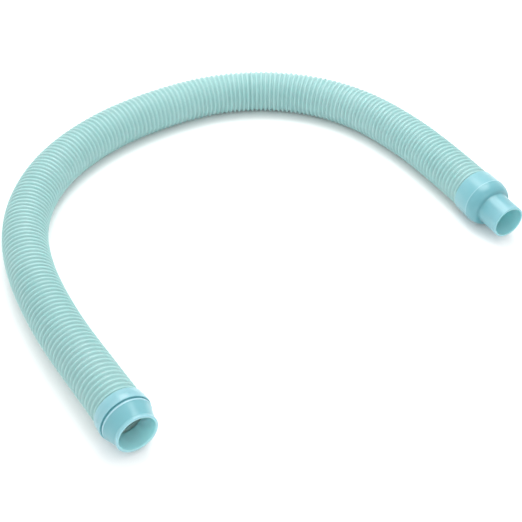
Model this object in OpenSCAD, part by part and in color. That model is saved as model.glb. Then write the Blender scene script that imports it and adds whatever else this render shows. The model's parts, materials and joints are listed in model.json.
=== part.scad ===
// One section of corrugated suction hose for a swimming pool cleaner, lying in a U on the ground.
// A socket cuff is bonded on one end and a spigot cuff on the other, so that sections push together.
// The hose is one flexible moulding. It is drawn as four links, and it flexes at the three places where they meet.
// Units are millimetres, +Z is up, the ground is z = 0, and the origin is under the middle of the section.

/* [Hose] */
// Outside diameter of the hose, over the crests of its corrugations
hose_od = 50; // [40:0.5:64]
// Depth of the corrugated wall, from the crests to the bore
hose_wall = 4.2; // [2:0.1:6]
// Distance from one corrugation to the next, which sets the length of the section
corrugation_pitch = 6; // [4:0.5:8]
// Length of hose bonded inside each cuff
hose_seat = 12; // [8:1:20]

/* [Cuffs] */
// Diameter at which socket and spigot push together
joint_d = 38; // [30:0.5:44]
// Wall of both collars where they close round the hose
collar_wall = 1.9; // [1.6:0.1:4]
// Glue line between a collar and the hose, on the radius
glue_line = 0.1; // [0.05:0.05:0.3]

/* [Socket cuff] */
// Depth of the socket, from the mouth to the end of the hose
socket_depth = 23; // [16:1:40]
// Wall of the socket at its mouth
lip_wall = 2.6; // [1.5:0.1:4]

/* [Spigot cuff] */
// Length of the straight spigot, from its tip to the shoulder
spigot_l = 28; // [20:1:44]
// Wall of the spigot
spigot_wall = 2; // [1.4:0.1:3.5]
// Length of the rounded shoulder
shoulder_l = 14; // [8:1:20]
// Distance from the end of the shoulder to the end of the hose
throat_l = 10; // [4:1:16]

/* [Flexing] */
// Gap left between two links
flex_gap = 0.8; // [0.6:0.1:2]

/* [Hidden] */

$fn = 96;

hose_r = hose_od / 2;
bore_r = hose_r - hose_wall;
joint_r = joint_d / 2;
seat_r = hose_r + glue_line;
collar_r = seat_r + collar_wall;

// Points of a round of radius r about [cx, cy], in equal steps from angle a0 to a1.
ROUND_STEPS = 6;
function round_points(cx, cy, r, a0, a1) = [
    for (k = [0:ROUND_STEPS])
        let (a = a0 + (a1 - a0) * k / ROUND_STEPS)
        [cx + r * cos(a), cy + r * sin(a)]
];

// Socket cuff, from its mouth: a rolled lip, a body that widens, a bead, a groove and the collar.
lip_r = joint_r + lip_wall;
lip_round = 1;
lip_l = 4;
neck_r = lip_r - 0.5;
lead_in = 1;
body_end = socket_depth - 5;
body_r = collar_r - 1.9;
bead_r = collar_r - 1.2;
bead_l = 2.5;
groove_l = 1.5;
collar_taper = 0.7;
collar_round = min(1.2, collar_wall - collar_taper - 0.2);
socket_l = socket_depth + hose_seat;
groove_start = body_end + bead_l;
collar_start = groove_start + groove_l;

SOCKET_OUTSIDE = concat(
    round_points(lip_r - lip_round, lip_round, lip_round, -90, 0),
    [
        [lip_r, lip_l - lip_round],
        [neck_r, lip_l],
        [body_r, body_end],
        [bead_r, body_end + 0.6],
        [bead_r, groove_start - 0.6],
        [body_r, groove_start],
        [body_r, collar_start]
    ],
    [
        [collar_r - 0.5, collar_start],
        [collar_r, collar_start + 0.5],
        [collar_r, collar_start + 6]
    ],
    round_points(collar_r - collar_taper - collar_round, socket_l - collar_round, collar_round, 0, 90)
);
SOCKET_INSIDE = [
    [seat_r, socket_l],
    [seat_r, socket_depth],
    [joint_r + lead_in / 2, socket_depth],
    [joint_r, socket_depth - lead_in],
    [joint_r, lead_in],
    [joint_r + lead_in / 2, 0]
];

// Spigot cuff, from its tip: a straight spigot, a rounded shoulder, an edge bead and the collar.
tip_round = 1;
spigot_bore_r = joint_r - spigot_wall;
shoulder_foot = 1;
bead_rise = 0.3;
edge_l = 1.6;
shoulder_end = spigot_l + shoulder_l;
spigot_seat = shoulder_end + throat_l;
spigot_cuff_l = spigot_seat + hose_seat;
funnel_start = spigot_l + 1;
shoulder_r = collar_r - 0.3;

SHOULDER = [
    for (k = [0:ROUND_STEPS])
        let (a = 90 * k / ROUND_STEPS)
        [
            joint_r + shoulder_foot + (shoulder_r - joint_r - shoulder_foot) * sin(a),
            shoulder_end - (shoulder_l - shoulder_foot) * cos(a)
        ]
];
SPIGOT_OUTSIDE = concat(
    round_points(joint_r - tip_round, tip_round, tip_round, -90, 0),
    [[joint_r, spigot_l]],
    SHOULDER,
    [
        [collar_r, shoulder_end + bead_rise],
        [collar_r, shoulder_end + edge_l - bead_rise],
        [shoulder_r, shoulder_end + edge_l]
    ],
    round_points(collar_r - collar_taper - collar_round, spigot_cuff_l - collar_round, collar_round, 0, 90)
);
SPIGOT_INSIDE = [
    [seat_r, spigot_cuff_l],
    [seat_r, spigot_seat],
    [bore_r, spigot_seat],
    [bore_r, shoulder_end],
    [spigot_bore_r, funnel_start],
    [spigot_bore_r, 0]
];

HOSE_COLOUR = [0.62, 0.83, 0.80];
CUFF_COLOUR = [0.50, 0.77, 0.81];

// The route of the hose between the cuffs, from socket to spigot: [corrugations, degrees turned to the right].
// It starts off at START_HEADING, counted from +X towards +Y.
START_HEADING = 124;
ROUTE = [
    [14, 0], [18, 9],
    [10, 10], [30, 49], [16, 19.5],
    [14, 12], [34, 58], [8, 13],
    [14, 11], [14, 4]
];
// The hose flexes after this many corrugations.
FLEXES = [30, 86, 142];

// The same route in millimetres, with the straight ends that sit in the cuffs.
stretches = concat(
    [[hose_seat, 0]],
    [for (r = ROUTE) [r[0] * corrugation_pitch, r[1]]],
    [[hose_seat, 0]]
);
function sum(list, i = 0) = i == len(list) ? 0 : list[i] + sum(list, i + 1);
hose_l = sum([for (s = stretches) s[0]]);
flex_at = [for (n = FLEXES) hose_seat + n * corrugation_pitch];

// A place on the ground plan is [x, y, heading].
function forward(p, l) = [p.x + l * cos(p.z), p.y + l * sin(p.z), p.z];
function bend(p, r, turn) =
    let (cx = p.x + r * sin(p.z), cy = p.y - r * cos(p.z), h = p.z - turn)
    [cx - r * sin(h), cy + r * cos(h), h];
function along(p, l, turn) = turn == 0 ? forward(p, l) : bend(p, l * 180 / (PI * turn), turn);
function place_at(s, i = 0, p = [0, 0, START_HEADING]) =
    let (l = stretches[i][0], turn = stretches[i][1])
    s <= l || i == len(stretches) - 1
        ? along(p, s, turn * s / l)
        : place_at(s - l, i + 1, along(p, l, turn));

// The collars are fatter than the hose, so the hose climbs from its first and last flex to its collars.
rise = (collar_r - hose_r) / (flex_at[0] - hose_seat);
pitch_angle = atan(rise);
function height_at(s) = hose_r + rise * max(0, flex_at[0] - s, s - flex_at[2]);

// Everything is moved so that the bounding box is centred on the origin.
// Its sides are reached by the hose and by the rims of the two cuffs.
OUTLINE_STEPS = 200;
socket_mouth = forward(place_at(0), -socket_depth);
spigot_tip = forward(place_at(hose_l), spigot_seat);
outline = concat(
    [for (k = [0:OUTLINE_STEPS]) [place_at(hose_l * k / OUTLINE_STEPS), hose_r]],
    [[socket_mouth, lip_r], [spigot_tip, joint_r]]
);
x_ends = [for (o = outline, s = [-1, 1]) o[0].x + s * o[1] * abs(sin(o[0].z))];
y_ends = [for (o = outline, s = [-1, 1]) o[0].y + s * o[1] * abs(cos(o[0].z))];
centre = [(min(x_ends) + max(x_ends)) / 2, (min(y_ends) + max(y_ends)) / 2];

// The hose wall is swept through rings of HOSE_SIDES corners, about RING_STEP apart.
HOSE_SIDES = 16;
RING_STEP = 18;
function ring(s, r, climb) =
    let (p = place_at(s), z = height_at(s))
    [
        for (k = [0:HOSE_SIDES - 1])
            let (a = 360 * k / HOSE_SIDES, side = r * cos(a), up = r * sin(a))
            [
                p.x - centre.x - side * sin(p.z) - up * sin(climb) * cos(p.z),
                p.y - centre.y + side * cos(p.z) - up * sin(climb) * sin(p.z),
                z + up * cos(climb)
            ]
    ];
function quad(a, b, c, d) = [[a, b, c], [a, c, d]];
function wall_faces(rings, first, inwards) = [
    for (j = [0:rings - 2], k = [0:HOSE_SIDES - 1])
        let (
            next = (k + 1) % HOSE_SIDES,
            a = first + j * HOSE_SIDES + k,
            b = first + j * HOSE_SIDES + next,
            faces = inwards
                ? quad(a, b, b + HOSE_SIDES, a + HOSE_SIDES)
                : quad(a, a + HOSE_SIDES, b + HOSE_SIDES, b)
        )
        each faces
];
function end_faces(outer, inner, closing) = [
    for (k = [0:HOSE_SIDES - 1])
        let (
            next = (k + 1) % HOSE_SIDES,
            faces = closing
                ? quad(outer + k, inner + k, inner + next, outer + next)
                : quad(outer + k, outer + next, inner + next, inner + k)
        )
        each faces
];

// One link of hose from s = from to s = to, climbing at a constant angle.
module link(from, to, climb) {
    rings = ceil((to - from) / RING_STEP) + 1;
    stations = [for (j = [0:rings - 1]) from + (to - from) * j / (rings - 1)];
    bore = rings * HOSE_SIDES;
    last = (rings - 1) * HOSE_SIDES;
    polyhedron(
        points = concat(
            [for (s = stations) each ring(s, hose_r, climb)],
            [for (s = stations) each ring(s, bore_r, climb)]
        ),
        faces = concat(
            wall_faces(rings, 0, false),
            wall_faces(rings, bore, true),
            end_faces(0, bore, false),
            end_faces(last, bore + last, true)
        ),
        convexity = 8
    );
}

// A cuff's outline is turned about the line of the hose: its points are [radius, distance from the free end].
// hose_end is where the hose stops inside the cuff, and inwards is the direction from the free end to the hose.
module turned_cuff(hose_end, z, inwards, seat, outline_points) {
    translate([hose_end.x - centre.x, hose_end.y - centre.y, z])
        rotate([0, 90 + pitch_angle, inwards])
            translate([0, 0, -seat])
                rotate_extrude()
                    polygon(outline_points);
}

module female_cuff() {
    p = place_at(0);
    color(CUFF_COLOUR)
        turned_cuff(p, height_at(0), p.z, socket_depth, concat(SOCKET_OUTSIDE, SOCKET_INSIDE));
}

module male_cuff() {
    p = place_at(hose_l);
    color(CUFF_COLOUR)
        turned_cuff(p, height_at(hose_l), p.z + 180, spigot_seat, concat(SPIGOT_OUTSIDE, SPIGOT_INSIDE));
}

module hose_link_1() {
    color(HOSE_COLOUR) link(0, flex_at[0] - flex_gap / 2, -pitch_angle);
}

module hose_link_2() {
    color(HOSE_COLOUR) link(flex_at[0] + flex_gap / 2, flex_at[1] - flex_gap / 2, 0);
}

module hose_link_3() {
    color(HOSE_COLOUR) link(flex_at[1] + flex_gap / 2, flex_at[2] - flex_gap / 2, 0);
}

module hose_link_4() {
    color(HOSE_COLOUR) link(flex_at[2] + flex_gap / 2, hose_l, pitch_angle);
}

female_cuff();
hose_link_1();
hose_link_2();
hose_link_3();
hose_link_4();
male_cuff();
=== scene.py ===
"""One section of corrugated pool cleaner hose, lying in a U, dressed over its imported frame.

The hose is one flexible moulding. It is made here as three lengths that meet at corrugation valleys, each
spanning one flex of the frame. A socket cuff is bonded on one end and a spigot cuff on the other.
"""

import json
import logging
import math
from collections.abc import Sequence
from dataclasses import dataclass, field
from enum import Enum

import bpy
from mathutils import Matrix, Vector


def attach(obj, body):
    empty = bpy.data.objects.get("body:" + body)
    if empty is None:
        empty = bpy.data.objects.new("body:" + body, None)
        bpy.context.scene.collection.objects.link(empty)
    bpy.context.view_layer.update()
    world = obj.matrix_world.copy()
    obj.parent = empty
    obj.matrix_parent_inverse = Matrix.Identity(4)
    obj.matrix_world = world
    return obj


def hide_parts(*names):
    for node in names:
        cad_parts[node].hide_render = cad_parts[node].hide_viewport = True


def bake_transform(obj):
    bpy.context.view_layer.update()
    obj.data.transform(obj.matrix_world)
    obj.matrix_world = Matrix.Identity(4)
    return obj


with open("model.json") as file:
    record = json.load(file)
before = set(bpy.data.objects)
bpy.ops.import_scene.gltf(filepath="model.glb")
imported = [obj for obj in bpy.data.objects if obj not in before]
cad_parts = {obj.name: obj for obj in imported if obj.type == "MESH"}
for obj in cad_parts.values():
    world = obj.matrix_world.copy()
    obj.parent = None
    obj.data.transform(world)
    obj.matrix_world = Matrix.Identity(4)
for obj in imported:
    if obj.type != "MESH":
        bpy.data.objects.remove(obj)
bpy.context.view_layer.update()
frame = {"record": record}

MM = 0.001

log = logging.getLogger("pool_hose")


class Body(Enum):
    """The rigid bodies of the frame, from the socket to the spigot."""

    SOCKET_END = "socket_end"
    BEND_A = "bend_a"
    BEND_B = "bend_b"
    SPIGOT_END = "spigot_end"


class Mount(Enum):
    """The two push-fit ends, by the names of their mounts in the record."""

    SOCKET = "socket"
    SPIGOT = "spigot"


class Slot(Enum):
    """The record's material slots."""

    HOSE = "hose_plastic"
    CUFF = "cuff_plastic"


# ---------------------------------------------------------------------------------------------------------------------
# The line of the hose
# ---------------------------------------------------------------------------------------------------------------------


@dataclass(frozen=True)
class Stretch:
    """A stretch of the route with one curvature."""

    corrugations: float
    turn: float


@dataclass(frozen=True)
class Place:
    """A point on the ground plan and the heading there, in metres and radians."""

    x: float
    y: float
    heading: float

    def forward(self, length: float) -> "Place":
        """Return the place straight ahead at a length."""
        return Place(self.x + length * math.cos(self.heading), self.y + length * math.sin(self.heading), self.heading)

    def along(self, length: float, turn: float) -> "Place":
        """Follow an arc to the right.

        Args:
            length: Length of the arc, in metres.
            turn: Angle turned to the right over that length, in radians.

        Returns:
            The place at the end of the arc.
        """
        if abs(turn) < 1e-9:
            return self.forward(length)
        radius = length / turn
        heading = self.heading - turn
        return Place(
            self.x + radius * (math.sin(self.heading) - math.sin(heading)),
            self.y - radius * (math.cos(self.heading) - math.cos(heading)),
            heading,
        )


@dataclass
class Route:
    """The centreline of the hose, from its end in the socket cuff to its end in the spigot cuff.

    Its stretches, spacing and seats are those of the frame's own hose, and its start is found from the socket's mount.
    """

    pitch: float = 6 * MM
    seat: float = 12 * MM
    start_heading: float = math.radians(124)
    flex_after: tuple[int, int, int] = (30, 86, 142)
    joins_after: tuple[int, int] = (58, 114)
    corrugations: int = 172
    stretches: tuple[Stretch, ...] = (
        Stretch(14, 0), Stretch(18, 9),
        Stretch(10, 10), Stretch(30, 49), Stretch(16, 19.5),
        Stretch(14, 12), Stretch(34, 58), Stretch(8, 13),
        Stretch(14, 11), Stretch(14, 4),
    )
    hose_radius: float = 25 * MM
    collar_radius: float = 27 * MM
    start: Place = field(init=False)

    def __post_init__(self) -> None:
        """Find where the hose stops inside the socket cuff."""
        seat = PushFitEnd.of(Mount.SOCKET).back(SocketCuff.seat_depth)
        self.start = Place(seat.x, seat.y, self.start_heading)

    @property
    def length(self) -> float:
        """Length of the whole hose, with both ends in their cuffs."""
        return 2 * self.seat + self.corrugations * self.pitch

    def after(self, corrugations: float) -> float:
        """Return how far along the hose a number of corrugations ends."""
        return self.seat + corrugations * self.pitch

    def place(self, s: float) -> Place:
        """Walk along the route.

        Args:
            s: Distance from the end in the socket cuff, in metres.

        Returns:
            The place on the ground plan.
        """
        here = self.start.forward(min(s, self.seat))
        s -= self.seat
        for stretch in self.stretches:
            if s <= 0:
                break
            length = stretch.corrugations * self.pitch
            share = min(1.0, s / length)
            here = here.along(length * share, math.radians(stretch.turn) * share)
            s -= length
        return here.forward(max(0.0, s))

    def height(self, s: float) -> float:
        """Height of the centreline: the hose lies on the ground, and its ends climb to the fatter collars."""
        first, last = self.after(self.flex_after[0]), self.after(self.flex_after[2])
        slope = (self.collar_radius - self.hose_radius) / (first - self.seat)
        return self.hose_radius + slope * max(0.0, first - s, s - last)

    def point(self, s: float) -> Vector:
        """Return the centreline's point at a distance from the socket end."""
        here = self.place(s)
        return Vector((here.x, here.y, self.height(s)))

    def points(self, start: float, end: float, step: float) -> list[Vector]:
        """Points along part of the route.

        Args:
            start: Where the part starts, in metres along the hose.
            end: Where it ends.
            step: The longest distance between two points.

        Returns:
            Evenly spaced points, both ends among them.
        """
        count = max(2, math.ceil((end - start) / step) + 1)
        return [self.point(start + (end - start) * k / (count - 1)) for k in range(count)]


@dataclass(frozen=True)
class PushFitEnd:
    """The open end of a cuff: the middle of its rim and the direction out of it."""

    rim: Vector
    outwards: Vector

    # How far the middle of each mount's wall lies behind the rim of its cuff.
    WALL_MIDDLE = {Mount.SOCKET: 11.5 * MM, Mount.SPIGOT: 14.5 * MM}

    @classmethod
    def of(cls, mount: Mount) -> "PushFitEnd":
        """Find an end from the record.

        Args:
            mount: Which of the two ends.

        Returns:
            The end's rim and direction.
        """
        row = next(m for m in frame["record"]["mounts"] if m["name"] == mount.value)
        outwards = Vector(row["axis"]).normalized()
        return cls(Vector(row["pos_m"]) + outwards * cls.WALL_MIDDLE[mount], outwards)

    def back(self, depth: float) -> Vector:
        """Return the point on the axis at a depth behind the rim."""
        return self.rim - self.outwards * depth

    def matrix(self) -> Matrix:
        """Turn a mesh whose +Z runs into the cuff from the origin so that it lies at this end."""
        inwards = -self.outwards
        side = Vector((0, 0, 1)).cross(inwards).normalized()
        turn = Matrix((side, inwards.cross(side), inwards)).transposed().to_4x4()
        return Matrix.Translation(self.rim) @ turn


# ---------------------------------------------------------------------------------------------------------------------
# Shader node groups and finishes
# ---------------------------------------------------------------------------------------------------------------------


class NodeTree:
    """A thin hand for building shader and geometry node trees."""

    def __init__(self, tree: bpy.types.NodeTree) -> None:
        """Keep the tree that is being built."""
        self.tree = tree

    def add(self, kind: str, inputs: dict[str | int, object] | None = None, **settings: object) -> bpy.types.Node:
        """Add a node.

        Args:
            kind: The node's type name.
            inputs: Values or sockets for its inputs, by name or number.
            **settings: Properties of the node, set before its inputs.

        Returns:
            The new node.
        """
        node = self.tree.nodes.new(kind)
        for name, value in settings.items():
            setattr(node, name, value)
        for key, value in (inputs or {}).items():
            if isinstance(value, bpy.types.NodeSocket):
                self.tree.links.new(value, node.inputs[key])
            else:
                node.inputs[key].default_value = value
        return node

    def math(self, operation: str, a: object, b: object = 0.0, c: object = 0.0) -> bpy.types.NodeSocket:
        """Add a Math node.

        Args:
            operation: Its operation.
            a: First value or socket.
            b: Second value or socket.
            c: Third value or socket.

        Returns:
            The result's socket.
        """
        return self.add("ShaderNodeMath", {0: a, 1: b, 2: c}, operation=operation).outputs[0]

    def vector(self, operation: str, a: object, b: object = (0, 0, 0), scale: object = 1.0) -> bpy.types.NodeSocket:
        """Add a Vector Math node.

        Args:
            operation: Its operation.
            a: First vector or socket.
            b: Second vector or socket.
            scale: The factor that SCALE takes.

        Returns:
            The resulting vector's socket.
        """
        node = self.add("ShaderNodeVectorMath", operation=operation)
        wanted = [(0, a), (3, scale)] if operation == "SCALE" else [(0, a), (1, b)]
        for key, value in wanted:
            if isinstance(value, bpy.types.NodeSocket):
                self.tree.links.new(value, node.inputs[key])
            else:
                node.inputs[key].default_value = value
        return node.outputs[0]

    def mix(self, factor: object, a: object, b: object) -> bpy.types.NodeSocket:
        """Mix two colours.

        Args:
            factor: 0 for the first colour and 1 for the second.
            a: First colour or socket.
            b: Second colour or socket.

        Returns:
            The mixed colour's socket.
        """
        node = self.add("ShaderNodeMix", {"Factor": factor}, data_type="RGBA")
        for key, value in ((6, a), (7, b)):
            if isinstance(value, bpy.types.NodeSocket):
                self.tree.links.new(value, node.inputs[key])
            else:
                node.inputs[key].default_value = value
        return node.outputs[2]

    def group(self, tree: bpy.types.NodeTree, inputs: dict[str, object]) -> bpy.types.NodeOutputs:
        """Place a node group.

        Args:
            tree: The group.
            inputs: Its values or sockets, by name.

        Returns:
            The placed group's outputs.
        """
        return self.add("ShaderNodeGroup", inputs, node_tree=tree).outputs


def new_group(name: str, inputs: Sequence[tuple[str, str, object]], outputs: Sequence[tuple[str, str]]) -> NodeTree:
    """Start a shader node group.

    Args:
        name: The group's name.
        inputs: Each input's name, socket type and default.
        outputs: Each output's name and socket type.

    Returns:
        The hand that builds the group's tree.
    """
    tree = bpy.data.node_groups.new(name, "ShaderNodeTree")
    for label, kind, default in inputs:
        tree.interface.new_socket(label, in_out="INPUT", socket_type=kind).default_value = default
    for label, kind in outputs:
        tree.interface.new_socket(label, in_out="OUTPUT", socket_type=kind)
    return NodeTree(tree)


def milky_tint_group() -> bpy.types.NodeTree:
    """Build the cloudy colour of unfilled polyethylene: two tints that drift into each other over the moulding.

    Returns:
        A group with a Color output.
    """
    hand = new_group(
        "milky_tint",
        [
            ("Clear", "NodeSocketColor", (1, 1, 1, 1)),
            ("Cloudy", "NodeSocketColor", (1, 1, 1, 1)),
            ("Cloud Scale", "NodeSocketFloat", 20.0),
            ("Cloudiness", "NodeSocketFloat", 0.5),
        ],
        [("Color", "NodeSocketColor")],
    )
    given = hand.add("NodeGroupInput").outputs
    at = hand.add("ShaderNodeTexCoord").outputs["Object"]
    wide = hand.add("ShaderNodeTexNoise", {"Vector": at, "Scale": given["Cloud Scale"], "Detail": 2.0}).outputs["Fac"]
    finer = hand.math("MULTIPLY", given["Cloud Scale"], 6.0)
    fine = hand.add("ShaderNodeTexNoise", {"Vector": at, "Scale": finer, "Detail": 3.0}).outputs["Fac"]
    cloud = hand.math("MULTIPLY_ADD", fine, 0.35, hand.math("MULTIPLY", wide, 0.65))
    spread = hand.math("MULTIPLY", hand.math("SUBTRACT", cloud, 0.5), 3.0)
    factor = hand.add("ShaderNodeClamp", {0: hand.math("MULTIPLY_ADD", spread, given["Cloudiness"], 0.5)}).outputs[0]
    hand.add("NodeGroupOutput", {"Color": hand.mix(factor, given["Clear"], given["Cloudy"])})
    return hand.tree


def mould_skin_group() -> bpy.types.NodeTree:
    """Build the skin of a moulding: a fine orange peel, and faint handling scuffs that raise its roughness.

    Returns:
        A group with Normal and Roughness outputs.
    """
    hand = new_group(
        "mould_skin",
        [
            ("Roughness", "NodeSocketFloat", 0.35),
            ("Scuff", "NodeSocketFloat", 0.1),
            ("Peel Scale", "NodeSocketFloat", 900.0),
            ("Peel Height", "NodeSocketFloat", 0.1),
        ],
        [("Normal", "NodeSocketVector"), ("Roughness", "NodeSocketFloat")],
    )
    given = hand.add("NodeGroupInput").outputs
    at = hand.add("ShaderNodeTexCoord").outputs["Object"]
    peel = hand.add("ShaderNodeTexNoise", {"Vector": at, "Scale": given["Peel Scale"], "Detail": 2.0}).outputs["Fac"]
    bump = hand.add("ShaderNodeBump", {"Height": peel, "Strength": given["Peel Height"], "Distance": 0.0002})
    drawn = hand.add("ShaderNodeMapping", {"Vector": at, "Scale": (60.0, 60.0, 340.0)}).outputs[0]
    marks = hand.add("ShaderNodeTexNoise", {"Vector": drawn, "Scale": 1.0, "Detail": 4.0}).outputs["Fac"]
    rub = hand.add("ShaderNodeMapRange", {"Value": marks, "From Min": 0.52, "From Max": 0.75}).outputs[0]
    rough = hand.math("MULTIPLY_ADD", rub, given["Scuff"], given["Roughness"])
    hand.add("NodeGroupOutput", {"Normal": bump.outputs[0], "Roughness": rough})
    return hand.tree


@dataclass(frozen=True)
class LightAndToneTint:
    """A second tint, laid on where a mesh attribute is high: painted highlight, painted shade and painted inner light,
    partly mixed with the plastic's own paler and deeper tones.
    """

    attribute: str
    amount: float
    tint: tuple[float, float, float, float]


@dataclass(frozen=True)
class MilkyPlastic:
    """Milky translucent moulded plastic. Light wanders in its wall, so it glows softly and shades little.

    Tints over its colour paint light and shade: a painted highlight on crests, beads and rims, with a paler own tone
    on collars;
    painted shade in grooves, with a deeper own tone on thick shoulders; and painted light on inner faces for the light
    a thin wall lets through.
    """

    name: str
    clear: tuple[float, float, float, float]
    cloudy: tuple[float, float, float, float]
    light_and_tone_tints: tuple[LightAndToneTint, ...]
    roughness: float
    cloud_scale: float = 14.0
    cloudiness: float = 0.6
    scuff: float = 0.12
    peel_height: float = 0.12
    scatter_weight: float = 0.5
    scatter_radius: tuple[float, float, float] = (0.6, 1.0, 0.95)
    scatter_scale: float = 5 * MM
    transmission: float = 0.15
    ior: float = 1.5
    coat_weight: float = 0.15
    coat_roughness: float = 0.18

    def build(self, tint: bpy.types.NodeTree, skin: bpy.types.NodeTree) -> bpy.types.Material:
        """Make the material.

        Args:
            tint: The milky tint group.
            skin: The mould skin group.

        Returns:
            The new material.
        """
        material = bpy.data.materials.new(self.name)
        material.use_nodes = True
        material.node_tree.nodes.clear()
        hand = NodeTree(material.node_tree)
        colour = hand.group(tint, {
            "Clear": self.clear,
            "Cloudy": self.cloudy,
            "Cloud Scale": self.cloud_scale,
            "Cloudiness": self.cloudiness,
        })["Color"]
        # Lay on the painted highlight, painted shade and painted inner light, with the paler and deeper own tones that
        # share their masks.
        for tint_overlay in self.light_and_tone_tints:
            mask = hand.add("ShaderNodeAttribute", attribute_name=tint_overlay.attribute).outputs["Fac"]
            colour = hand.mix(hand.math("MULTIPLY", mask, tint_overlay.amount), colour, tint_overlay.tint)
        surface = hand.group(skin, {
            "Roughness": self.roughness,
            "Scuff": self.scuff,
            "Peel Height": self.peel_height,
        })
        shader = hand.add("ShaderNodeBsdfPrincipled", {
            "Base Color": colour,
            "Roughness": surface["Roughness"],
            "Normal": surface["Normal"],
            "IOR": self.ior,
            "Transmission Weight": self.transmission,
            "Subsurface Weight": self.scatter_weight,
            "Subsurface Radius": self.scatter_radius,
            "Subsurface Scale": self.scatter_scale,
            "Coat Weight": self.coat_weight,
            "Coat Roughness": self.coat_roughness,
        })
        hand.add("ShaderNodeOutputMaterial", {"Surface": shader.outputs[0]})
        return material


# ---------------------------------------------------------------------------------------------------------------------
# Meshes
# ---------------------------------------------------------------------------------------------------------------------


def new_piece(name: str, mesh: bpy.types.Mesh) -> bpy.types.Object:
    """Put a mesh into the scene as an object at the origin.

    Args:
        name: The piece's name.
        mesh: Its mesh, in the frame's coordinates.

    Returns:
        The new object.
    """
    piece = bpy.data.objects.new(name, mesh)
    mesh.name = name
    bpy.context.scene.collection.objects.link(piece)
    return piece


def report(piece: bpy.types.Object) -> None:
    """Log a finished piece and its number of triangles."""
    triangles = sum(len(face.vertices) - 2 for face in piece.data.polygons)
    log.info("%s: %d triangles", piece.name, triangles)


@dataclass(frozen=True)
class ProfilePoint:
    """A corner of a cuff's outline, rounded off by a fillet, and its painted light there: painted highlight mixed with
    a paler own tone, painted shade in grooves and a deeper own tone on thick walls, and painted inner light.
    """

    radius: float
    depth: float
    fillet: float = 0.0
    highlight_and_pale_tone: float = 0.0
    shade_and_deep_tone: float = 0.0
    lit: float = 0.0


@dataclass(frozen=True)
class Lathe:
    """Turns a closed outline about +Z into a solid moulding with rounded edges."""

    sides: int = 128
    fillet_steps: int = 4
    sharp_angle: float = math.radians(38)
    nearly_straight: float = math.radians(88)

    def rounded(self, corners: Sequence[ProfilePoint]) -> list[ProfilePoint]:
        """Round off an outline's corners.

        Args:
            corners: The outline, in millimetres, anticlockwise with the radius across and the depth up.

        Returns:
            The outline's points with arcs in place of the filleted corners.
        """
        points: list[ProfilePoint] = []
        count = len(corners)
        for k, corner in enumerate(corners):
            if corner.fillet <= 0:
                points.append(corner)
                continue
            here = Vector((corner.radius, corner.depth))
            before, after = corners[k - 1], corners[(k + 1) % count]
            back = Vector((before.radius, before.depth)) - here
            ahead = Vector((after.radius, after.depth)) - here
            half = back.angle(ahead) / 2
            if half > self.nearly_straight:
                points.append(corner)
                continue
            reach = min(corner.fillet / math.tan(half), 0.49 * back.length, 0.49 * ahead.length)
            radius = reach * math.tan(half)
            centre = here + (back.normalized() + ahead.normalized()).normalized() * radius / math.sin(half)
            first = (here + back.normalized() * reach - centre).normalized()
            last = (here + ahead.normalized() * reach - centre).normalized()
            for step in range(self.fillet_steps + 1):
                spot = centre + first.slerp(last, step / self.fillet_steps).normalized() * radius
                points.append(ProfilePoint(spot.x, spot.y, 0.0, corner.highlight_and_pale_tone, corner.shade_and_deep_tone, corner.lit))
        return points

    def mesh(self, name: str, corners: Sequence[ProfilePoint], place: Matrix) -> bpy.types.Mesh:
        """Turn an outline.

        Args:
            name: The mesh's name.
            corners: The outline, in millimetres.
            place: Where the turned solid goes; the outline's depth runs along its +Z.

        Returns:
            The mesh, in metres, with attributes for the painted highlight, painted shade and painted inner light, and
            a UV map.
        """
        outline = self.rounded(corners)
        rows = len(outline)
        angles = [math.tau * k / self.sides for k in range(self.sides)]
        spots = [
            place @ (Vector((p.radius * math.cos(a), p.radius * math.sin(a), p.depth)) * MM)
            for a in angles
            for p in outline
        ]
        faces = [
            (
                k * rows + j,
                (k + 1) % self.sides * rows + j,
                (k + 1) % self.sides * rows + (j + 1) % rows,
                k * rows + (j + 1) % rows,
            )
            for k in range(self.sides)
            for j in range(rows)
        ]
        mesh = bpy.data.meshes.new(name)
        mesh.from_pydata(spots, [], faces)
        # Store each outline point's painted highlight, painted shade and painted inner light.
        for label in ("highlight_and_pale_tone", "shade_and_deep_tone", "lit"):
            values = [getattr(p, label) for _ in angles for p in outline]
            mesh.attributes.new(label, "FLOAT", "POINT").data.foreach_set("value", values)
        layer = mesh.uv_layers.new(name="UVMap")
        for face in range(len(faces)):
            k, j = divmod(face, rows)
            for corner, (dk, dj) in enumerate(((0, 0), (1, 0), (1, 1), (0, 1))):
                layer.data[4 * face + corner].uv = ((k + dk) / self.sides, (j + dj) / rows)
        mesh.polygons.foreach_set("use_smooth", [True] * len(faces))
        mesh.set_sharp_from_angle(angle=self.sharp_angle)
        mesh.update()
        return mesh


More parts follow.
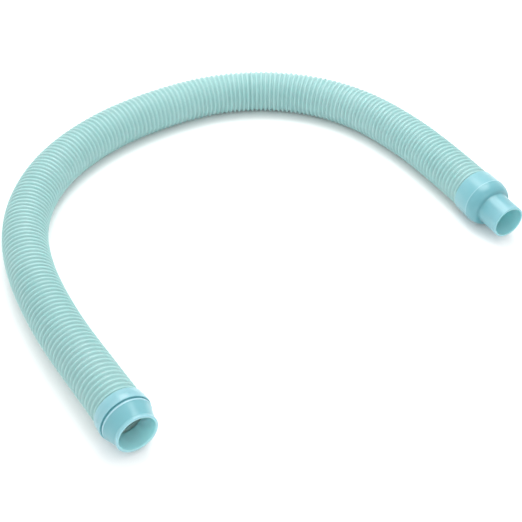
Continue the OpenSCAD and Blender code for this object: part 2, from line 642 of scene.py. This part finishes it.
@dataclass
class CorrugatedHose:
    """The blow-moulded hose wall, made in three lengths that meet in the valleys between corrugations.

    Each length spans one flex of the frame.
    """

    route: Route
    crest_radius: float = 25 * MM
    valley_radius: float = 22.9 * MM
    wall: float = 1.0 * MM
    sharpness: float = 1.15
    around: int = 72
    rings_per_pitch: int = 10
    path_step: float = 3 * MM
    blend_inset: float = 20 * MM

    def tree(self) -> bpy.types.NodeTree:
        """Build the geometry nodes that sweep a corrugated wall along a path.

        Returns:
            The node group, whose input geometry is the path as a chain of edges.
        """
        tree = bpy.data.node_groups.new("corrugated_wall", "GeometryNodeTree")
        tree.interface.new_socket("Path", in_out="INPUT", socket_type="NodeSocketGeometry")
        for label, kind in (
            ("Around", "NodeSocketInt"),
            ("Rings", "NodeSocketInt"),
            ("Start", "NodeSocketFloat"),
            ("Length", "NodeSocketFloat"),
            ("Pitch", "NodeSocketFloat"),
            ("Crest Radius", "NodeSocketFloat"),
            ("Valley Radius", "NodeSocketFloat"),
            ("Wall", "NodeSocketFloat"),
            ("Sharpness", "NodeSocketFloat"),
            ("Material", "NodeSocketMaterial"),
        ):
            tree.interface.new_socket(label, in_out="INPUT", socket_type=kind)
        tree.interface.new_socket("Wall", in_out="OUTPUT", socket_type="NodeSocketGeometry")
        hand = NodeTree(tree)
        given = hand.add("NodeGroupInput").outputs
        rings = given["Rings"]

        # The sheet's rows run out along the outside, turn over the end, come back along the bore and close.
        rows = hand.math("MULTIPLY_ADD", rings, 2.0, 3.0)
        columns = hand.math("ADD", given["Around"], 1.0)
        sheet = hand.add(
            "GeometryNodeMeshGrid",
            {"Size X": 1.0, "Size Y": 1.0, "Vertices X": columns, "Vertices Y": rows},
        )
        index = hand.math("ADD", hand.add("GeometryNodeInputIndex").outputs[0], 0.5)
        column = hand.math("FLOOR", hand.math("DIVIDE", index, rows))
        row = hand.math("SUBTRACT", hand.math("SUBTRACT", index, hand.math("MULTIPLY", column, rows)), 0.5)
        outer = hand.math("LESS_THAN", row, hand.math("ADD", rings, 0.5))
        closing = hand.math("GREATER_THAN", row, hand.math("MULTIPLY_ADD", rings, 2.0, 1.5))
        outside = hand.math("ADD", outer, closing)
        back = hand.math("SUBTRACT", hand.math("MULTIPLY_ADD", rings, 2.0, 1.0), row)
        steps = hand.math("MINIMUM", row, hand.math("MAXIMUM", back, 0.0))
        share = hand.math("DIVIDE", steps, rings)

        phase = hand.math("DIVIDE", hand.math("MULTIPLY_ADD", share, given["Length"], given["Start"]), given["Pitch"])
        wave = hand.math("MULTIPLY_ADD", hand.math("COSINE", hand.math("MULTIPLY", phase, math.tau)), -0.5, 0.5)
        crest = hand.math("POWER", hand.math("MAXIMUM", wave, 0.0), given["Sharpness"])
        height = hand.math("SUBTRACT", given["Crest Radius"], given["Valley Radius"])
        skin = hand.math("MULTIPLY_ADD", crest, height, given["Valley Radius"])
        bore = hand.math("SUBTRACT", skin, given["Wall"])
        radius = hand.math("MULTIPLY_ADD", hand.math("SUBTRACT", skin, bore), outside, bore)

        line = hand.add("GeometryNodeMeshToCurve", {0: given["Path"]}).outputs[0]
        spot = hand.add(
            "GeometryNodeSampleCurve",
            {"Curves": line, "Factor": share},
            mode="FACTOR", use_all_curves=True,
        )
        forward = hand.vector("NORMALIZE", spot.outputs["Tangent"])
        side = hand.vector("NORMALIZE", hand.vector("CROSS_PRODUCT", (0, 0, 1), forward))
        up = hand.vector("CROSS_PRODUCT", forward, side)
        angle = hand.math("DIVIDE", hand.math("MULTIPLY", column, math.tau), given["Around"])
        across = hand.vector("SCALE", side, scale=hand.math("MULTIPLY", radius, hand.math("COSINE", angle)))
        above = hand.vector("SCALE", up, scale=hand.math("MULTIPLY", radius, hand.math("SINE", angle)))
        place = hand.vector("ADD", spot.outputs["Position"], hand.vector("ADD", across, above))

        marked = hand.add(
            "GeometryNodeStoreNamedAttribute",
            {"Geometry": sheet.outputs["Mesh"], "Name": "UVMap", "Value": sheet.outputs["UV Map"]},
            data_type="FLOAT2", domain="CORNER",
        ).outputs[0]
        # Painted highlight: the outer crests get a paler tint. Painted light: the bore gets a brighter tint, standing
        # in for light that comes through the thin wall.
        marked = hand.add(
            "GeometryNodeStoreNamedAttribute",
            {"Geometry": marked, "Name": "highlight_and_pale_tone", "Value": hand.math("MULTIPLY", crest, outside)},
            data_type="FLOAT", domain="POINT",
        ).outputs[0]
        marked = hand.add(
            "GeometryNodeStoreNamedAttribute",
            {"Geometry": marked, "Name": "lit", "Value": hand.math("SUBTRACT", 1.0, outside)},
            data_type="FLOAT", domain="POINT",
        ).outputs[0]
        swept = hand.add("GeometryNodeSetPosition", {"Geometry": marked, "Position": place}).outputs[0]
        closed = hand.add("GeometryNodeMergeByDistance", {"Geometry": swept, "Distance": 0.002 * MM}).outputs[0]
        smooth = hand.add("GeometryNodeSetShadeSmooth", {"Geometry": closed}).outputs[0]
        real = hand.add("GeometryNodeRealizeInstances", {"Geometry": smooth}).outputs[0]
        dressed = hand.add("GeometryNodeSetMaterial", {"Geometry": real, "Material": given["Material"]}).outputs[0]
        hand.add("NodeGroupOutput", {0: dressed})
        return tree

    def length(self, name: str, start: float, end: float, tree: bpy.types.NodeTree,
               material: bpy.types.Material) -> bpy.types.Object:
        """Make one length of the hose.

        Args:
            name: The piece's name.
            start: Where it starts, in metres along the hose.
            end: Where it ends.
            tree: The corrugated wall's node group.
            material: The hose's plastic.

        Returns:
            The piece, as a plain mesh.
        """
        path = self.route.points(start, end, self.path_step)
        chain = bpy.data.meshes.new(name + "_path")
        chain.from_pydata(path, [(k, k + 1) for k in range(len(path) - 1)], [])
        carrier = new_piece(name + "_path", chain)
        modifier = carrier.modifiers.new("corrugated_wall", "NODES")
        modifier.node_group = tree
        sizes = {
            "Around": self.around,
            "Rings": round((end - start) / self.route.pitch * self.rings_per_pitch),
            "Start": start - self.route.seat,
            "Length": end - start,
            "Pitch": self.route.pitch,
            "Crest Radius": self.crest_radius,
            "Valley Radius": self.valley_radius,
            "Wall": self.wall,
            "Sharpness": self.sharpness,
            "Material": material,
        }
        for item in tree.interface.items_tree:
            if item.in_out == "INPUT" and item.name in sizes:
                modifier[item.identifier] = sizes[item.name]
        evaluated = carrier.evaluated_get(bpy.context.evaluated_depsgraph_get())
        mesh = bpy.data.meshes.new_from_object(evaluated)
        bpy.data.objects.remove(carrier)
        bpy.data.meshes.remove(chain)
        return new_piece(name, mesh)

    def build(self, finish: bpy.types.Material) -> list[bpy.types.Object]:
        """Make the three lengths and hide the frame's hose links that they stand in for.

        Args:
            finish: The hose's plastic.

        Returns:
            The pieces, from the socket cuff to the spigot cuff.
        """
        route = self.route
        first_join, second_join = (route.after(count) for count in route.joins_after)
        lengths = (
            ("hose_first_length", 0.0, first_join, Body.SOCKET_END, Body.BEND_A, ("hose_link_1",)),
            ("hose_middle_length", first_join, second_join, Body.BEND_A, Body.BEND_B, ("hose_link_2",)),
            (
                "hose_last_length", second_join, route.length, Body.BEND_B, Body.SPIGOT_END,
                ("hose_link_3", "hose_link_4"),
            ),
        )
        tree = self.tree()
        pieces = []
        for name, start, end, near, far, nodes in lengths:
            piece = self.length(name, start, end, tree, finish)
            a, b = route.point(start), route.point(end)
            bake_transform(piece)
            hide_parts(*nodes)
            path = route.points(start, end, 2 * self.path_step)
            report(piece)
            pieces.append(piece)
        return pieces


@dataclass
class SocketCuff:
    """The female cuff: a socket with a rolled lip, a widening body, a bead, a groove and a collar on the hose."""

    joint_radius: float = 19.0
    lip_radius: float = 21.6
    body_radius: float = 25.1
    bead_radius: float = 25.8
    collar_radius: float = 27.0
    seat_radius: float = 25.1
    socket_depth: float = 23.0
    waist_radius: float = 23.1
    waist_depth: float = 11.0
    body_end: float = 18.0
    bead_length: float = 2.5
    bead_edge: float = 0.6
    groove_length: float = 1.5
    collar_taper: float = 0.7
    lead_in: float = 1.0
    total: float = 35.0
    seat_depth = 23 * MM

    def outline(self) -> list[ProfilePoint]:
        """Return the outline of the wall, from the mouth up the outside and back down the inside."""
        bead_end = self.body_end + self.bead_length
        collar = bead_end + self.groove_length
        lead_radius = self.joint_radius + self.lead_in / 2
        # Painted highlight on the lip and the bead, with a paler own tone on the collar; painted shade in the groove;
        # painted inner light on the bore and lead-in.
        return [
            ProfilePoint(lead_radius, 0.0, 0.25, highlight_and_pale_tone=0.4, lit=0.5),
            ProfilePoint(self.lip_radius, 0.0, 0.9, highlight_and_pale_tone=0.6),
            ProfilePoint(self.lip_radius, 3.2, 0.8, highlight_and_pale_tone=0.2),
            ProfilePoint(self.lip_radius - 0.5, 4.0, 0.8),
            ProfilePoint(self.waist_radius, self.waist_depth),
            ProfilePoint(self.body_radius, self.body_end, 0.3),
            ProfilePoint(self.bead_radius, self.body_end + self.bead_edge, 0.3, highlight_and_pale_tone=1.0),
            ProfilePoint(self.bead_radius, bead_end - self.bead_edge, 0.3, highlight_and_pale_tone=1.0),
            ProfilePoint(self.body_radius, bead_end, 0.2, shade_and_deep_tone=1.0),
            ProfilePoint(self.body_radius, collar, 0.2, shade_and_deep_tone=1.0),
            ProfilePoint(self.collar_radius - 0.5, collar, 0.2, highlight_and_pale_tone=0.3),
            ProfilePoint(self.collar_radius, collar + 0.5, 0.3, highlight_and_pale_tone=0.5),
            ProfilePoint(self.collar_radius, collar + 6.0, 4.0, highlight_and_pale_tone=0.3),
            ProfilePoint(self.collar_radius - self.collar_taper, self.total, 1.0, highlight_and_pale_tone=0.4),
            ProfilePoint(self.seat_radius, self.total, 0.3, highlight_and_pale_tone=0.3),
            ProfilePoint(self.seat_radius, self.socket_depth, lit=1.0),
            ProfilePoint(lead_radius, self.socket_depth, 0.2, lit=1.0),
            ProfilePoint(self.joint_radius, self.socket_depth - self.lead_in, 0.2, lit=1.0),
            ProfilePoint(self.joint_radius, self.lead_in, 0.4, lit=1.0),
        ]

    def build(self, finish: bpy.types.Material) -> bpy.types.Object:
        """Turn the cuff, dress it and fix it to the socket end."""
        mesh = Lathe().mesh("socket_cuff", self.outline(), PushFitEnd.of(Mount.SOCKET).matrix())
        mesh.materials.append(finish)
        piece = new_piece("socket_cuff", mesh)
        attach(piece, Body.SOCKET_END.value)
        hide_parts("female_cuff")
        report(piece)
        return piece


@dataclass
class SpigotCuff:
    """The male cuff: a straight spigot, a rounded shoulder, an edge bead and a collar bonded on the hose."""

    joint_radius: float = 19.0
    spigot_bore: float = 17.0
    hose_bore: float = 20.8
    shoulder_radius: float = 26.7
    collar_radius: float = 27.0
    seat_radius: float = 25.1
    spigot_length: float = 28.0
    shoulder_end: float = 42.0
    seat_depth: float = 52.0
    total: float = 64.0
    shoulder_foot: float = 1.0
    shoulder_steps: int = 14
    edge_length: float = 1.6
    edge_rise: float = 0.3
    collar_taper: float = 0.7

    def outline(self) -> list[ProfilePoint]:
        """Return the outline of the wall, from the tip up the outside and back down the inside."""
        foot = self.joint_radius + self.shoulder_foot
        width = self.shoulder_radius - foot
        length = self.shoulder_end - self.spigot_length - self.shoulder_foot
        edge_end = self.shoulder_end + self.edge_length
        shoulder = []
        for k in range(self.shoulder_steps + 1):
            turn = math.pi / 2 * k / self.shoulder_steps
            shoulder.append(ProfilePoint(
                foot + width * math.sin(turn),
                self.shoulder_end - length * math.cos(turn),
                shade_and_deep_tone=0.5,
            ))
        # Painted highlight on the tip and the edge bead, with a paler own tone on the collar end; a deeper own tone on
        # the thick spigot and shoulder; painted inner light on the bores.
        return [
            ProfilePoint(self.spigot_bore, 0.0, 0.4, highlight_and_pale_tone=0.3, lit=0.5),
            ProfilePoint(self.joint_radius, 0.0, 0.9, highlight_and_pale_tone=0.5, shade_and_deep_tone=0.3),
            ProfilePoint(self.joint_radius, self.spigot_length, 0.5, shade_and_deep_tone=0.5),
            *shoulder,
            ProfilePoint(self.collar_radius, self.shoulder_end + self.edge_rise, 0.2, highlight_and_pale_tone=0.5),
            ProfilePoint(self.collar_radius, edge_end - self.edge_rise, 0.2, highlight_and_pale_tone=0.5),
            ProfilePoint(self.shoulder_radius, edge_end, 0.2, shade_and_deep_tone=0.1),
            ProfilePoint(self.collar_radius - self.collar_taper, self.total, 1.0, highlight_and_pale_tone=0.15),
            ProfilePoint(self.seat_radius, self.total, 0.3, highlight_and_pale_tone=0.2),
            ProfilePoint(self.seat_radius, self.seat_depth, lit=1.0),
            ProfilePoint(self.hose_bore, self.seat_depth, 0.3, lit=1.0),
            ProfilePoint(self.hose_bore, self.shoulder_end, 1.0, lit=1.0),
            ProfilePoint(self.spigot_bore, self.spigot_length + 1.0, 1.0, lit=1.0),
        ]

    def build(self, finish: bpy.types.Material) -> bpy.types.Object:
        """Turn the cuff, dress it and fix it to the spigot end."""
        mesh = Lathe().mesh("spigot_cuff", self.outline(), PushFitEnd.of(Mount.SPIGOT).matrix())
        mesh.materials.append(finish)
        piece = new_piece("spigot_cuff", mesh)
        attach(piece, Body.SPIGOT_END.value)
        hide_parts("male_cuff")
        report(piece)
        return piece


# ---------------------------------------------------------------------------------------------------------------------
# Studio
# ---------------------------------------------------------------------------------------------------------------------


@dataclass(frozen=True)
class SoftBox:
    """A square area light that points at a spot."""

    name: str
    place: tuple[float, float, float]
    target: tuple[float, float, float]
    size: float
    power: float
    colour: tuple[float, float, float] = (1.0, 1.0, 1.0)

    def build(self) -> bpy.types.Object:
        """Hang the light and return it."""
        lamp = bpy.data.lights.new(self.name, "AREA")
        lamp.shape, lamp.size, lamp.energy, lamp.color = "SQUARE", self.size, self.power, self.colour
        light = bpy.data.objects.new(self.name, lamp)
        bpy.context.scene.collection.objects.link(light)
        light.location = self.place
        light.rotation_euler = (Vector(self.target) - Vector(self.place)).to_track_quat("-Z", "Y").to_euler()
        return light


@dataclass(frozen=True)
class Studio:
    """A near-white floor in a white room, soft light from above, and the camera."""

    camera_place: tuple[float, float, float] = (-0.0026, -0.8972, 0.812)
    camera_tilt: float = math.radians(47.13)
    lens: float = 75.3
    floor_size: float = 12.0
    floor_colour: tuple[float, float, float, float] = (0.93, 0.93, 0.93, 1)
    room_light: float = 1.25
    lights: tuple[SoftBox, ...] = (
        SoftBox("overhead_softbox", (0.0, 0.55, 1.1), (0.0, 0.2, 0.0), 0.9, 11.0),
        SoftBox("front_softbox", (0.8, -1.6, 1.3), (0.0, -0.1, 0.0), 1.2, 3.0),
    )

    def camera(self) -> bpy.types.Object:
        """Set up the camera and return it."""
        data = bpy.data.cameras.new("camera")
        data.lens = self.lens
        camera = bpy.data.objects.new("camera", data)
        camera.location = self.camera_place
        camera.rotation_euler = (self.camera_tilt, 0.0, 0.0)
        bpy.context.scene.collection.objects.link(camera)
        bpy.context.scene.camera = camera
        return camera

    def floor(self) -> bpy.types.Object:
        """Lay the floor and return it."""
        half = self.floor_size / 2
        mesh = bpy.data.meshes.new("floor")
        mesh.from_pydata([(-half, -half, 0), (half, -half, 0), (half, half, 0), (-half, half, 0)], [], [(0, 1, 2, 3)])
        material = bpy.data.materials.new("floor_paper")
        material.use_nodes = True
        shader = material.node_tree.nodes["Principled BSDF"]
        shader.inputs["Base Color"].default_value = self.floor_colour
        shader.inputs["Roughness"].default_value = 0.9
        shader.inputs["Specular IOR Level"].default_value = 0.1
        mesh.materials.append(material)
        piece = new_piece("floor", mesh)
        return piece

    def room(self) -> bpy.types.World:
        """Light the white room and return its world."""
        world = bpy.data.worlds.new("white_room")
        world.use_nodes = True
        back = world.node_tree.nodes["Background"]
        back.inputs["Color"].default_value = (1, 1, 1, 1)
        back.inputs["Strength"].default_value = self.room_light
        bpy.context.scene.world = world
        return world

    def build(self) -> None:
        """Set up the whole studio."""
        self.camera()
        self.floor()
        self.room()
        for light in self.lights:
            light.build()
        bpy.context.scene.view_settings.view_transform = "Standard"


# ---------------------------------------------------------------------------------------------------------------------
# The section
# ---------------------------------------------------------------------------------------------------------------------

HOSE_PLASTIC = MilkyPlastic(
    name="hose_plastic",
    clear=(0.23, 0.48, 0.47, 1),
    cloudy=(0.30, 0.54, 0.53, 1),
    light_and_tone_tints=(
        # Painted highlight on the crests, and painted light on the bore.
        LightAndToneTint("highlight_and_pale_tone", 0.15, (0.58, 0.80, 0.77, 1)),
        LightAndToneTint("lit", 0.8, (0.55, 0.82, 0.80, 1)),
    ),
    roughness=0.34,
)
CUFF_PLASTIC = MilkyPlastic(
    name="cuff_plastic",
    clear=(0.13, 0.38, 0.43, 1),
    cloudy=(0.18, 0.44, 0.49, 1),
    light_and_tone_tints=(
        # Painted highlight on beads and rims with a paler own tone on collars; painted shade in the groove with a
        # deeper own tone on thick walls; painted light on the bores.
        LightAndToneTint("highlight_and_pale_tone", 0.6, (0.46, 0.68, 0.76, 1)),
        LightAndToneTint("shade_and_deep_tone", 0.7, (0.06, 0.27, 0.32, 1)),
        LightAndToneTint("lit", 0.85, (0.50, 0.85, 0.88, 1)),
    ),
    roughness=0.28,
)


def main() -> None:
    """Set up the studio and build the section from socket to spigot."""
    logging.basicConfig(level=logging.INFO, format="%(name)s: %(message)s")
    Studio().build()
    tint, skin = milky_tint_group(), mould_skin_group()
    hose_plastic = HOSE_PLASTIC.build(tint, skin)
    cuff_plastic = CUFF_PLASTIC.build(tint, skin)
    route = Route()
    SocketCuff().build(cuff_plastic)
    CorrugatedHose(route).build(hose_plastic)
    SpigotCuff().build(cuff_plastic)


if __name__ == "__main__":
    main()
